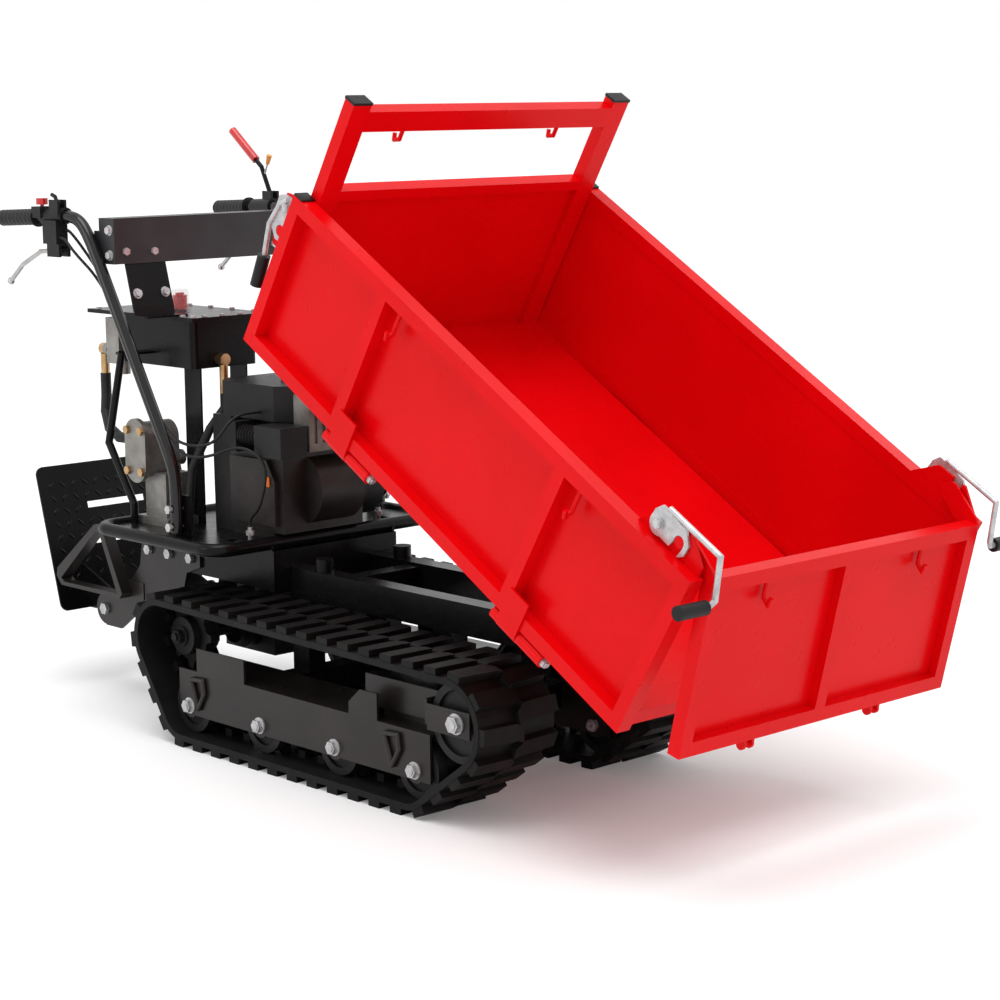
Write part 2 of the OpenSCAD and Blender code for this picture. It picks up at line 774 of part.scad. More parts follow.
// Brass hose ends and the screws of the pump cover
module hose_fittings() {
    color([0.72, 0.52, 0.32])
        mach() {
            translate([tank_rear - 76, -138, tank_low + 22]) rotate([0, 90, 0]) cylinder(h = 16, r = 12);
            translate([tank_rear - 70, -138, tank_low - 30]) cylinder(h = 41, r = 9);
            translate([tank_front, -76, tank_low + 17]) rotate([0, 90, 0]) cylinder(h = 22, r = 12);
            translate([tank_front + 14, -76, tank_low - 52]) cylinder(h = 58, r = 9);
            translate([-722, -168, 566]) rotate([0, 90, 0]) cylinder(h = 22, r = 11);
            for (x = [-664, -616])
                for (z = [512, 596])
                    screw_y(x, -216, z, 9, 7);
        }
}

// Hydraulic hoses: tank to pump, and the line from the tank's front down to the deck
module hydraulic_hoses() {
    color([0.05, 0.05, 0.05])
        mach() {
            bent_bar([
                [tank_rear - 70, -138, tank_low - 30], [tank_rear - 70, -138, tank_low - 76],
                [-845, -146, 612], [-815, -158, 580], [-765, -168, 566], [-722, -168, 566]
            ], 11);
            bent_bar([
                [tank_front + 14, -76, tank_low - 52], [tank_front + 14, -76, 640],
                [-522, -112, 600], [-536, -150, 520], [-536, -160, 440], [-536, -160, deck_top]
            ], 9);
        }
}

// Control cables from the levers down to the deck
module cable_side() {
    bent_bar([
        [-790, -280, grip_height - 35], [-772, -280, grip_height - 35], [-745, -275, grip_height - 64],
        [-708, -250, grip_height - 110],
        [-672, -236, 850], [-600, -236, 720], [-520, -226, 600], [-462, -222, 560], [-380, -224, 566],
        [-316, -190, 596], [-262, -165, 560], [-290, -165, 470],
        [-326, -165, deck_top + 44], [-326, -165, deck_top + 26]
    ], 3, 10);
}

module control_cables() {
    color([0.04, 0.04, 0.04])
        mach() {
            both_sides() cable_side();
            bent_bar([
                [-790, -266, grip_height - 20], [-774, -266, grip_height - 20], [-752, -246, grip_height - 60],
                [-690, -228, 880], [-600, -214, 690], [-540, -206, 600], [-470, -214, 580], [-370, -216, 590],
                [-345, -185, 650], [-345, -120, 650]
            ], 3, 10);
        }
}

// Stays: console stay on the lid, strut from the deck to the tank and the tank's two stands
module stays() {
    color([0.14, 0.14, 0.15])
        mach() {
            sheet_xz([-222, -124])
                polygon([
                    [console_face - 2.5, console_top - 40], [console_face - 6.5, console_top - 40],
                    [console_face - 6.5, console_low], [-622, 846], [-618, lid_top + 4],
                    [-618, lid_top], [-570, lid_top], [-570, lid_top + 4], [-614, lid_top + 4],
                    [-618, 848], [console_face - 2.5, console_low]
                ]);
            bent_bar([[-664, -206, deck_top], [-664, -206, 440], [-748, -206, 560], [-690, -206, 752]], 8);
            block([-712, -672], [-206, tank_near], [746, 751]);
            for (y = [-116, 0])
                block([-600, -545], [y, y + 4], [deck_top, tank_low]);
        }
}

// Handlebar tubes
module handlebar() {
    difference() {
        bent_bar([
            [bar_x, -bar_y, bar_foot], [bar_x, -bar_y, 525], [bend_low[0], -bar_y, bend_low[1]],
            [bend_top[0] + 30, -bar_y, bend_top[1] - 44], [bend_top[0], -bar_y - 1, bend_top[1] - 10],
            [bend_top[0] - 36, -bar_y - 4, bend_top[1]], [grip_end + 8, -grip_spread / 2, grip_height]
        ], bar_r);
        for (z = [deck_top + 26, deck_top + 62])
            bar_along_y(bar_x, z, [-bar_y - 40, -bar_y + 40], 5 + fit);
    }
}

module handlebar_right() {
    color([0.17, 0.17, 0.19]) mach() handlebar();
}

module handlebar_left() {
    color([0.17, 0.17, 0.19]) mach() mirror([0, 1, 0]) handlebar();
}

// Console: folded channel between the tubes
module console() {
    color([0.17, 0.17, 0.18])
        mach() {
            block([console_face - 2.5, console_face], [-console_half, console_half], [console_low, console_top]);
            block([console_face - 50, console_face - 2.5], [-console_half, console_half], [console_top - 2.5, console_top]);
            block([console_face - 52.5, console_face - 50], [-console_half, console_half], [console_top - 26, console_top]);
            both_sides()
                sheet_xz([-console_half, -console_half + 2.5])
                    polygon([
                        [console_face - 2.5, console_low], [console_face - 2.5, console_top - 2.5],
                        [console_face - 50, console_top - 2.5], [console_face - 50, console_top - 26],
                        [console_face - 70, console_top - 26], [console_face - 70, console_top - 56],
                        [console_face - 44, console_low]
                    ]);
        }
}

// Line of the handlebar under the grip, from the grip's end forward
bar_tip = [grip_end + 8, -grip_spread / 2, grip_height];
bar_bend = [bend_top[0] - 36, -bar_y - 4, bend_top[1]];
bar_dir = (bar_bend - bar_tip) / norm(bar_bend - bar_tip);

// A tube along the grip line between two distances from its end
module along_grip(d, r, bore) {
    difference() {
        bar(bar_tip + bar_dir * d[0], bar_tip + bar_dir * d[1], r);
        if (bore > 0) bar(bar_tip + bar_dir * (d[0] - 1), bar_tip + bar_dir * (d[1] + 1), bore);
    }
}

module grips() {
    color([0.05, 0.05, 0.05])
        mach() both_sides() {
            along_grip([0, grip_length], 17, bar_r + fit);
            along_grip([-6, 0], 17, 0);
            along_grip([grip_length, grip_length + 4], 21, bar_r + fit);
        }
}

// Lever perches: clamps on the tubes with the clutch lever's fork, plus the switch and lever seats
perch_x = -830;
lever_z = grip_height - 62;
lever_x = -812;
lever_y = -grip_spread / 2 + 6;
hub_x = -802;
hub_z = grip_height + 34;
module perch() {
    along_grip([146, 218], 17, 0);
    block([perch_x - 10, perch_x + 40], [lever_y - 14, lever_y + 14], [lever_z + 14, grip_height]);
    block([lever_x - 14, lever_x + 30], [lever_y - 14, lever_y - 8], [lever_z - 12, lever_z + 14]);
    block([lever_x - 14, lever_x + 30], [lever_y + 8, lever_y + 14], [lever_z - 12, lever_z + 14]);
    bar_along_y(lever_x, lever_z, [lever_y - 14, lever_y + 14], 4);
    block([hub_x - 16, hub_x + 16], [lever_y - 11, lever_y - 6], [grip_height + 8, hub_z + 8]);
    block([hub_x - 16, hub_x + 16], [lever_y + 6, lever_y + 11], [grip_height + 8, hub_z + 8]);
    bar_along_y(hub_x, hub_z, [lever_y - 11, lever_y + 11], 4);
}

module lever_perches() {
    color([0.06, 0.06, 0.06])
        mach()
            difference() {
                union() {
                    both_sides() perch();
                    block([-875, -842], [lever_y - 17, lever_y + 17], [grip_height + 4, grip_height + 27]);
                }
                both_sides() along_grip([100, 250], bar_r + fit, 0);
                translate([-860, lever_y, grip_height + 20]) cylinder(h = 40, r = 4.4);
            }
}

// Clutch levers: curved steel levers under the grips
module clutch_lever() {
    difference() {
        union() {
            bar_along_y(lever_x, lever_z, [lever_y - 7.5, lever_y + 7.5], 10);
            bent_bar([
                [lever_x - 6, lever_y, lever_z], [lever_x - 60, lever_y, lever_z - 4],
                [lever_x - 130, lever_y, lever_z - 34], [lever_x - 178, lever_y, lever_z - 70]
            ], 5);
            translate([lever_x - 178, lever_y, lever_z - 70]) rotate([0, -90 - atan2(36, 48), 0]) sphere(r = 8);
        }
        bar_along_y(lever_x, lever_z, [lever_y - 20, lever_y + 20], 4 + fit);
    }
}

module clutch_lever_right() {
    color([0.80, 0.80, 0.82]) mach() clutch_lever();
}

module clutch_lever_left() {
    color([0.80, 0.80, 0.82]) mach() mirror([0, 1, 0]) clutch_lever();
}

// Engine stop knob on the right perch
module stop_knob() {
    color([0.85, 0.08, 0.08])
        mach() translate([-860, lever_y, grip_height + 31]) {
            cylinder(h = 13, r = 12);
            translate([0, 0, -7]) cylinder(h = 7, r = 4);
        }
}

// Throttle thumb lever on the right perch
module throttle_lever() {
    color([0.06, 0.06, 0.06])
        mach()
            difference() {
                union() {
                    bar_along_y(hub_x, hub_z, [lever_y - 5.5, lever_y + 5.5], 7);
                    bent_bar([
                        [hub_x, lever_y, hub_z], [hub_x - 8, lever_y, hub_z + 14], [hub_x - 20, lever_y, hub_z + 18]
                    ], 4);
                }
                bar_along_y(hub_x, hub_z, [lever_y - 20, lever_y + 20], 4 + fit);
            }
}

// Drive lever on the left perch, with its red sleeve
drive_a = [-832, -lever_y, grip_height + 94];
drive_b = [-930, -lever_y, grip_height + 170];
module drive_lever() {
    color([0.12, 0.12, 0.12])
        mach()
            difference() {
                union() {
                    bar_along_y(hub_x, hub_z, [-lever_y - 5.5, -lever_y + 5.5], 7);
                    bent_bar([[hub_x, -lever_y, hub_z], drive_a, drive_b], 5);
                }
                bar_along_y(hub_x, hub_z, [-lever_y - 20, -lever_y + 20], 4 + fit);
            }
}

module drive_lever_sleeve() {
    v = (drive_b - drive_a) / norm(drive_b - drive_a);
    color([0.80, 0.08, 0.08])
        mach()
            difference() {
                bar(drive_a + v * 24, drive_b + v * 4, 9);
                bar(drive_a, drive_b, 5 + fit);
            }
}

// Operator platform: tread plate folded up behind the machine, hinged low on the side plates
module platform() {
    color([0.14, 0.14, 0.15])
        mach()
            translate([fold_x, 0, fold_z])
                rotate([0, -fold_lean, 0])
                    difference() {
                        union() {
                            translate([-136, 0, 0])
                                rotate([90, 0, 90])
                                    linear_extrude(height = 4)
                                        round_rect([-platform_width / 2, platform_width / 2], [13, 13 + platform_depth], 18);
                            both_sides() {
                                sheet_xz([112, 118])
                                    union() {
                                        polygon([[-132, 13], [-132, 110], [-10, 20], [-10, -18]]);
                                        circle(r = 22);
                                    }
                                bar_along_y(0, 0, [96, 112], 16);
                            }
                        }
                        bar_along_y(0, 0, [-300, 300], 8 + fit);
                        for (z = [150, 230])
                            block([-140, -120], [-75, 75], [z, z + 14]);
                    }
}

// Tip cylinder: barrel on the chassis and the rod that lifts the bed
module along_ram() {
    translate([tx + ram_x, 0, ram_z]) rotate([0, -ram_angle, 0]) children();
}

module tip_cylinder() {
    color([0.10, 0.10, 0.11])
        along_ram()
            difference() {
                union() {
                    bar([30, 0, 0], [barrel_end, 0, 0], 24);
                    bar([barrel_end - 22, 0, 0], [barrel_end + 6, 0, 0], 27);
                    bar_along_y(0, 0, [-15, 15], 20);
                    block([0, 32], [-14, 14], [-14, 14]);
                }
                bar_along_y(0, 0, [-30, 30], 10 + fit);
                bar([36, 0, 0], [barrel_end - 20, 0, 0], 20);
                bar([barrel_end - 21, 0, 0], [barrel_end + 10, 0, 0], 11 + fit);
            }
}

module tip_rod() {
    color([0.82, 0.82, 0.84])
        along_ram() {
            bar([barrel_end - 60, 0, 0], [ram_length - 14, 0, 0], 11);
            bar([barrel_end - 80, 0, 0], [barrel_end - 60, 0, 0], 20 - fit);
            bar_along_y(ram_length, 0, [-12, 12], 17);
            bar_along_y(ram_length, 0, [-15, 15], 8);
        }
}

// Bed floor: sheet on a tube frame, tip lugs, cylinder bracket and the fixed hinge barrels
module bed_floor() {
    d = -floor_depth;
    end = bed_length - 29;
    color([0.80, 0.05, 0.06])
        on_bed()
            difference() {
                union() {
                    block([post_front, end], [-floor_half, floor_half], [0, 3]);
                    both_sides() {
                        block([post_front, end], [floor_half - 30, floor_half], [d, 0]);
                        block([post_front, end], [55, 85], [d, 0]);
                        sheet_xz([64, rail_in - 2])
                            union() {
                                polygon([[pivot_u - 60, d], [pivot_u + 60, d], [pivot_u + 20, pivot_w - 8], [pivot_u - 20, pivot_w - 8]]);
                                translate([pivot_u, pivot_w]) circle(r = 22);
                            }
                        difference() {
                            sheet_xz([17, 23])
                                polygon([[eye_u - 40, d], [eye_u + 40, d], [eye_u + 16, eye_w - 18], [eye_u - 16, eye_w - 18]]);
                            bar_along_y(eye_u, eye_w, [0, 40], 8.4);
                        }
                        for (u = strap_u) {
                            difference() {
                                union() {
                                    bar([u + strap_len + 1, hinge_y, hinge_w], [u + strap_len + 1 + barrel_len, hinge_y, hinge_w], 12);
                                    bar([u - 19, hinge_y, hinge_w], [u - 1, hinge_y, hinge_w], 12);
                                    block([u + strap_len + 1, u + strap_len + 1 + barrel_len], [floor_half, hinge_y], [-27, -17]);
                                    block([u - 19, u - 1], [floor_half, hinge_y], [-27, -17]);
                                }
                                bar([u - 30, hinge_y, hinge_w], [u + strap_len + barrel_len + 20, hinge_y, hinge_w], 5 + fit);
                            }
                        }
                    }
                    for (u = [post_front, 300, 480, 575, 790, end - 30])
                        block([u, u + 30], [-floor_half, floor_half], [d, 0]);
                    block([eye_u - 40, eye_u + 40], [-55, 55], [d, d + 4]);
                    for (y = [-160, 160])
                        bent_bar([[end, y, -24], [end + 8, y, -24], [end + 8, y, -15]], 4);
                }
                bar_along_y(pivot_u, pivot_w, [-200, 200], pivot_r + fit);
            }
}

// Headboard: posts, two bars, sheet, rope hooks and the pins that hold the side walls
module headboard() {
    post_in = floor_half + 3 - post_width;
    post_out = floor_half + 3;
    color([0.82, 0.05, 0.06])
        on_bed() {
            both_sides() {
                block([post_rear, post_front], [post_in, post_out], [-floor_depth, post_height - 5]);
                block([rear_u - 14, post_rear], [post_out - 8, post_out], [rear_pin_w - 16, rear_pin_w + 16]);
                bar_along_y(rear_u, rear_pin_w, [post_out, latch_out - 0.5], pin_r);
                bent_bar([
                    [post_rear + 10, 190, post_height - 58], [post_rear + 10, 190, post_height - 84],
                    [post_rear - 2, 190, post_height - 92], [post_rear - 6, 190, post_height - 80]
                ], 4);
            }
            block([post_rear, post_front], [-post_in, post_in], [post_height - 58, post_height - 18]);
            block([post_rear, post_front], [-post_in, post_in], [wall_height + 6, wall_height + 26]);
            block([post_rear, post_front], [-post_in, post_in], [-floor_depth, 0]);
            block([20, 23], [-post_in, post_in], [0, wall_height + 6]);
        }
}

// Plastic caps on the headboard posts
module headboard_caps() {
    y = floor_half + 3 - post_width;
    color([0.10, 0.09, 0.10])
        on_bed() both_sides()
            block([post_rear - 1, post_front + 1], [y - 1, y + post_width + 1], [post_height - 5, post_height]);
}

// Side wall: tube frame with three recessed panels, latch ears and hinge straps
module wall_tubes(h, l) {
    t = wall_tube;
    y = [-half_bed, -wall_in];
    block([0, l], y, [0, 25]);
    block([0, l], y, [h - 25, h]);
    for (u = [0, l - 25])
        block([u, u + 25], y, [25, h - 25]);
    for (u = [strap_u[0] - 18, strap_u[1] - 18])
        block([u, u + 25], [-half_bed, -wall_in - 4.5], [25, h - 25]);
    block([25, l - 25], [-wall_in - 4.5, -wall_in - 1.5], [25, h - 25]);
}

// Front ear: a notch for the gate's pin and the stud that the latch turns on
module front_ear(pin, bolt, end, foot) {
    difference() {
        sheet_xz([-ear_out, -ear_in])
            polygon([
                [foot, wall_height - 1], [bolt, wall_height + 44], [pin + (pin - bolt) * 0.34, wall_height + 46],
                [end, wall_height + 16], [end, wall_height - 1]
            ]);
        bar_along_y(pin, pin_w, [-half_bed, 0], pin_r + 0.6);
        block([pin - pin_r - 0.6, pin + pin_r + 0.6], [-half_bed, 0], [pin_w, pin_w + 60]);
    }
    bar_along_y(bolt, pin_w, [-latch_out - 8, -ear_in], 5);
}

// Rear ear: stands behind the wall's end, slips over the headboard's pin and carries the latch's stud
module rear_ear() {
    difference() {
        sheet_xz([-ear_out, -ear_in])
            polygon([
                [1, rear_pin_w - 34], [1, rear_bolt_w + 25], [rear_u, rear_bolt_w + 25], [rear_u - 19, rear_bolt_w + 19],
                [rear_u - 22, rear_bolt_w], [rear_u - 22, rear_pin_w - 8], [rear_u - 12, rear_pin_w - 34]
            ]);
        bar_along_y(rear_u, rear_pin_w, [-half_bed, 0], pin_r + 1.5);
    }
    bar_along_y(rear_u, rear_bolt_w, [-latch_out - 8, -ear_in], 5);
}

module side_wall() {
    h = wall_height;
    l = bed_length;
    wall_tubes(h, l);
    front_ear(gate_pin_u, gate_bolt_u, l - 8, gate_bolt_u - 44);
    rear_ear();
    for (u = strap_u) {
        block([u, u + strap_len], [-half_bed - 4, -half_bed], [hinge_w, 52]);
        difference() {
            union() {
                bar([u, -hinge_y, hinge_w], [u + strap_len, -hinge_y, hinge_w], 13);
                block([u, u + strap_len], [-half_bed - 4, -hinge_y], [hinge_w, 0]);
            }
            bar([u - 10, -hinge_y, hinge_w], [u + strap_len + 10, -hinge_y, hinge_w], 5 + fit);
        }
    }
    for (u = [strap_u[0] + 42, strap_u[1] + 42])
        bent_bar([
            [u, -half_bed + 9, h - 25], [u, -half_bed + 9, h - 68],
            [u, -half_bed - 3, h - 78], [u, -half_bed - 6, h - 64]
        ], 4);
}

module side_wall_right() {
    color([0.84, 0.05, 0.06]) on_bed() side_wall();
}

module side_wall_left() {
    color([0.84, 0.05, 0.06]) on_bed() mirror([0, 1, 0]) side_wall();
}

// Hinge bolts of the side walls, each with a nut at its front end
module hinge_bolts() {
    color([0.78, 0.78, 0.80])
        on_bed() both_sides()
            for (u = strap_u) {
                bar([u - 19, hinge_y, hinge_w], [u + strap_len + barrel_len + 12, hinge_y, hinge_w], 5);
                translate([u + strap_len + barrel_len + 1, hinge_y, hinge_w])
                    rotate([0, 90, 0]) cylinder(h = 8, r = 8.5, $fn = 6);
            }
}

// Tailgate: tube frame, two panels, ears with pins, rope hooks and bottom eyes
module tailgate() {
    t = gate_tube;
    u = [gate_face - t, gate_face];
    low = gate_top - gate_height;
    color([0.84, 0.05, 0.06])
        on_gate() {
            block(u, [-gate_half, gate_half], [low, low + t]);
            block(u, [-gate_half, gate_half], [gate_top - t, gate_top]);
            for (y = [-gate_half, -t / 2, gate_half - t])
                block(u, [y, y + t], [low + t, gate_top - t]);
            block([gate_face - t + 5, gate_face - t + 8], [-gate_half + t, gate_half - t], [low + t, gate_top - t]);
            both_sides() {
                sheet_xz([-gate_half, -gate_half + 5])
                    union() {
                        translate([gate_pin_u, pin_w]) circle(r = 18);
                        polygon([
                            [gate_pin_u - 8, pin_w + 16], [gate_pin_u + 8, pin_w + 16.2], [gate_face - 4, gate_top + 8],
                            [gate_face, gate_top - 4], [gate_face, gate_top - t], [gate_face - t, gate_top - t],
                            [gate_pin_u - 12, pin_w - 13]
                        ]);
                    }
                bar_along_y(gate_pin_u, pin_w, [-latch_out + 0.5, -gate_half], pin_r);
                bent_bar([
                    [gate_face - 9, -195, gate_top - t], [gate_face - 9, -195, gate_top - t - 30],
                    [gate_face + 3, -195, gate_top - t - 40], [gate_face + 6, -195, gate_top - t - 26]
                ], 4);
                for (y = [-172, -153])
                    sheet_xz([y, y + 5])
                        union() {
                            translate([gate_face - t + 4, low - 13]) square([16, 14]);
                            translate([gate_face - t + 12, low - 13]) circle(r = 9);
                        }
                bar_along_y(gate_face - t + 12, low - 13, [-172, -148], 4);
            }
        }
}

// Latches: plate with a curved hook slot, turning on the ear's bolt, and a bent rod handle
module latch_plate(dir) {
    sheet_xz([-latch_out, -latch_in])
        scale([dir, 1])
            difference() {
                union() {
                    circle(r = 20);
                    polygon([[-8, 30], [14, 30], [latch_arm + 4, 25], [latch_arm + 20, 6], [latch_arm + 18, -14],
                        [latch_arm + 9, -22], [36, -18], [-12, -16], [-19, -4], [-18, 16]]);
                }
                circle(r = 5 + fit);
                translate([latch_arm, 0]) circle(r = pin_r + 0.7);
                intersection() {
                    difference() {
                        circle(r = latch_arm + pin_r + 0.7, $fn = 96);
                        circle(r = latch_arm - pin_r - 0.7, $fn = 96);
                    }
                    polygon([[0, 0], [90, 0], [90, -90], [50, -90]]);
                }
            }
}

grip_u = 152;
grip_w = -42;
module front_latch() {
    y = -latch_out + 2;
    translate([gate_bolt_u, 0, pin_w]) {
        latch_plate(1);
        bent_bar([
            [6, y, 33], [126, y, 33], [grip_u, y, grip_w + 10], [grip_u, y - 9, grip_w], [grip_u, y - 70, grip_w]
        ], 5);
    }
}

module front_latch_grip() {
    translate([gate_bolt_u + grip_u, 0, pin_w + grip_w])
        difference() {
            bar_along_y(0, 0, [-latch_out - 76, -latch_out - 14], 12);
            bar_along_y(0, 0, [-latch_out - 68, -latch_out], 5 + fit);
        }
}

// The rear latch hangs from its stud, and its rod runs down behind the bed to the grip
rear_rod_y = -latch_in - 5.5;
rear_grip_top = [-16, -108];
rear_grip_low = [-10, -164];
module rear_latch() {
    translate([rear_u, 0, rear_bolt_w]) {
        rotate([0, -90, 0]) latch_plate(-1);
        bent_bar([
            [-4, rear_rod_y, 14], [-20, rear_rod_y, -4], [-30, rear_rod_y, -52],
            [rear_grip_top[0], rear_rod_y, rear_grip_top[1]], [rear_grip_low[0], rear_rod_y, rear_grip_low[1]]
        ], 5);
    }
}

module rear_latch_grip() {
    a = [rear_grip_top[0], rear_rod_y, rear_grip_top[1]];
    b = [rear_grip_low[0], rear_rod_y, rear_grip_low[1]];
    v = (b - a) / norm(b - a);
    translate([rear_u, 0, rear_bolt_w])
        difference() {
            bar(a + v * 2, b + v * 6, 12);
            bar(a, b, 5 + fit);
        }
}

module latch_front_right() {
    color([0.78, 0.78, 0.79]) on_bed() front_latch();
}

module latch_front_left() {
    color([0.78, 0.78, 0.79]) on_bed() mirror([0, 1, 0]) front_latch();
}

module latch_rear_right() {
    color([0.78, 0.78, 0.79]) on_bed() rear_latch();
}

module latch_rear_left() {
    color([0.78, 0.78, 0.79]) on_bed() mirror([0, 1, 0]) rear_latch();
}

module latch_grip_front_right() {
    color([0.07, 0.06, 0.06]) on_bed() front_latch_grip();
}

module latch_grip_front_left() {
    color([0.07, 0.06, 0.06]) on_bed() mirror([0, 1, 0]) front_latch_grip();
}

module latch_grip_rear_right() {
    color([0.07, 0.06, 0.06]) on_bed() rear_latch_grip();
}

module latch_grip_rear_left() {
    color([0.07, 0.06, 0.06]) on_bed() mirror([0, 1, 0]) rear_latch_grip();
}

main_frame();
engine_deck();
rear_side_plates();
gearbox();
track_frame_right();
track_frame_left();
track_belt_right();
track_belt_left();
idler_yokes();
drive_sprocket_right();
drive_sprocket_left();
idler_wheels();
road_rollers_1();
road_rollers_2();
road_rollers_3();
road_rollers_4();
chassis_bolts();
engine_block();
engine_cowl();
fuel_tank();
air_cleaner();
muffler();
hydraulic_pump();
valve_block();
oil_tank();
tank_lid();
filler_cap();
hose_fittings();
hydraulic_hoses();
control_cables();
stays();
handlebar_right();
handlebar_left();
console();
grips();
lever_perches();
clutch_lever_right();
clutch_lever_left();
stop_knob();
throttle_lever();
drive_lever();
drive_lever_sleeve();
platform();
tip_cylinder();
tip_rod();
bed_floor();
headboard();
headboard_caps();
side_wall_right();
side_wall_left();
hinge_bolts();
tailgate();
latch_front_right();
latch_front_left();
latch_rear_right();
latch_rear_left();
latch_grip_front_right();
latch_grip_front_left();
latch_grip_rear_right();
latch_grip_rear_left();
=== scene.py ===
import json
import math

import bmesh
import bpy
from mathutils import Matrix, Quaternion, Vector


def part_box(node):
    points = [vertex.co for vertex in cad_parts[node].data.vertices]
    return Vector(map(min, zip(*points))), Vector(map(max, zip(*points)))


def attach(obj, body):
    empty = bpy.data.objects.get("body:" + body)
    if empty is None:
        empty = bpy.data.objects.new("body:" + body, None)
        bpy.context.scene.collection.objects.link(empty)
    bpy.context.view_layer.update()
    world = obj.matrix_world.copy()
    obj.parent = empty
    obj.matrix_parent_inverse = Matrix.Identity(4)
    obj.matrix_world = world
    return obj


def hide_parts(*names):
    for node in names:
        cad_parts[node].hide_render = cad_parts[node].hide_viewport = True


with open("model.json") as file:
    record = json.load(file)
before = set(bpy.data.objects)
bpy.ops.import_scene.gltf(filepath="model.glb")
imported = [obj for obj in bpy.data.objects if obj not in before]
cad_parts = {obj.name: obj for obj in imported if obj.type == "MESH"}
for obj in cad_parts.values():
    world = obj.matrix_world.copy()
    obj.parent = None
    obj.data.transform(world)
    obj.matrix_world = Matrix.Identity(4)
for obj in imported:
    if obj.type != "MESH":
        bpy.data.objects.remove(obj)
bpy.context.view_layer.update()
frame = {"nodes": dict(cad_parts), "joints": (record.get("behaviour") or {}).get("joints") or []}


# The view: a long lens at chest height, ahead of the machine and on its right, looking back
# and a little down at it. A white floor meets a white surround, so only the shadow is left.
scene = bpy.context.scene
scene.view_settings.view_transform = "Standard"

eye = Vector((3.49965, -3.05712, 1.25688))
yaw = 0.749
pitch = 0.162
roll = -0.0105
look = Vector((-math.cos(yaw) * math.cos(pitch), math.sin(yaw) * math.cos(pitch), -math.sin(pitch)))
camera_data = bpy.data.cameras.new("photo_camera")
camera_data.sensor_width = 36.0
camera_data.lens = 88.48
camera_data.clip_end = 200.0
camera = bpy.data.objects.new("photo_camera", camera_data)
camera.location = eye
camera.rotation_mode = "QUATERNION"
camera.rotation_quaternion = look.to_track_quat("-Z", "Y") @ Quaternion((0, 0, 1), roll)
scene.collection.objects.link(camera)
scene.camera = camera

surround = bpy.data.worlds.new("white_surround")
scene.world = surround
surround.use_nodes = True
sky = surround.node_tree
sky_light = sky.nodes["Background"]
sky_light.inputs["Color"].default_value = (1.0, 1.0, 1.0, 1.0)
sky_light.inputs["Strength"].default_value = 0.72
sky_seen = sky.nodes.new("ShaderNodeBackground")
sky_seen.inputs["Color"].default_value = (1.0, 1.0, 1.0, 1.0)
sky_seen.inputs["Strength"].default_value = 1.0
sky_ray = sky.nodes.new("ShaderNodeLightPath")
sky_pick = sky.nodes.new("ShaderNodeMixShader")
seen = sky_ray.outputs["Is Camera Ray"]
for ray in ("Is Glossy Ray", "Is Transmission Ray"):
    either = sky.nodes.new("ShaderNodeMath")
    either.operation = "MAXIMUM"
    sky.links.new(seen, either.inputs[0])
    sky.links.new(sky_ray.outputs[ray], either.inputs[1])
    seen = either.outputs[0]
sky.links.new(seen, sky_pick.inputs["Fac"])
sky.links.new(sky_light.outputs[0], sky_pick.inputs[1])
sky.links.new(sky_seen.outputs[0], sky_pick.inputs[2])
sky.links.new(sky_pick.outputs[0], sky.nodes["World Output"].inputs["Surface"])

floor_half = 40.0
floor_mesh = bpy.data.meshes.new("studio_floor")
floor_bm = bmesh.new()
bmesh.ops.create_grid(floor_bm, x_segments=1, y_segments=1, size=floor_half)
floor_bm.to_mesh(floor_mesh)
floor_bm.free()
floor = bpy.data.objects.new("studio_floor", floor_mesh)
scene.collection.objects.link(floor)
floor_white = bpy.data.materials.new("floor_white")
floor_white.use_nodes = True
floor_tree = floor_white.node_tree
floor_shader = floor_tree.nodes["Principled BSDF"]
floor_shader.inputs["Base Color"].default_value = (0.86, 0.86, 0.86, 1.0)
floor_shader.inputs["Roughness"].default_value = 0.9
floor_shader.inputs["Specular IOR Level"].default_value = 0.0
floor_shader.inputs["Emission Color"].default_value = (1.0, 1.0, 1.0, 1.0)
floor_ray = floor_tree.nodes.new("ShaderNodeLightPath")
floor_glow = floor_tree.nodes.new("ShaderNodeMath")
floor_glow.operation = "MULTIPLY"
floor_glow.inputs[1].default_value = 0.12
floor_tree.links.new(floor_ray.outputs["Is Camera Ray"], floor_glow.inputs[0])
floor_tree.links.new(floor_glow.outputs[0], floor_shader.inputs["Emission Strength"])
floor_mesh.materials.append(floor_white)


def lamp(name, kind, place, aim, strength, width):
    """A sun or a square soft box at a place, turned to a point."""
    data = bpy.data.lights.new(name, kind)
    data.energy = strength
    if kind == "SUN":
        data.angle = width
    else:
        data.size = width
    obj = bpy.data.objects.new(name, data)
    obj.location = place
    obj.rotation_mode = "QUATERNION"
    obj.rotation_quaternion = (Vector(aim) - Vector(place)).to_track_quat("-Z", "Y")
    scene.collection.objects.link(obj)


lamp("high_sun", "SUN", (0.6, -1.0, 5.0), (0, 0, 0.3), 1.50, math.radians(40))
lamp("front_box", "AREA", (4.6, -0.8, 3.4), (0.2, 0, 0.6), 15, 2.0)
lamp("right_box", "AREA", (-1.8, -4.2, 2.4), (-0.4, 0, 0.6), 28, 2.2)
lamp("left_box", "AREA", (0.6, 4.4, 2.8), (0, 0, 0.6), 24, 2.4)


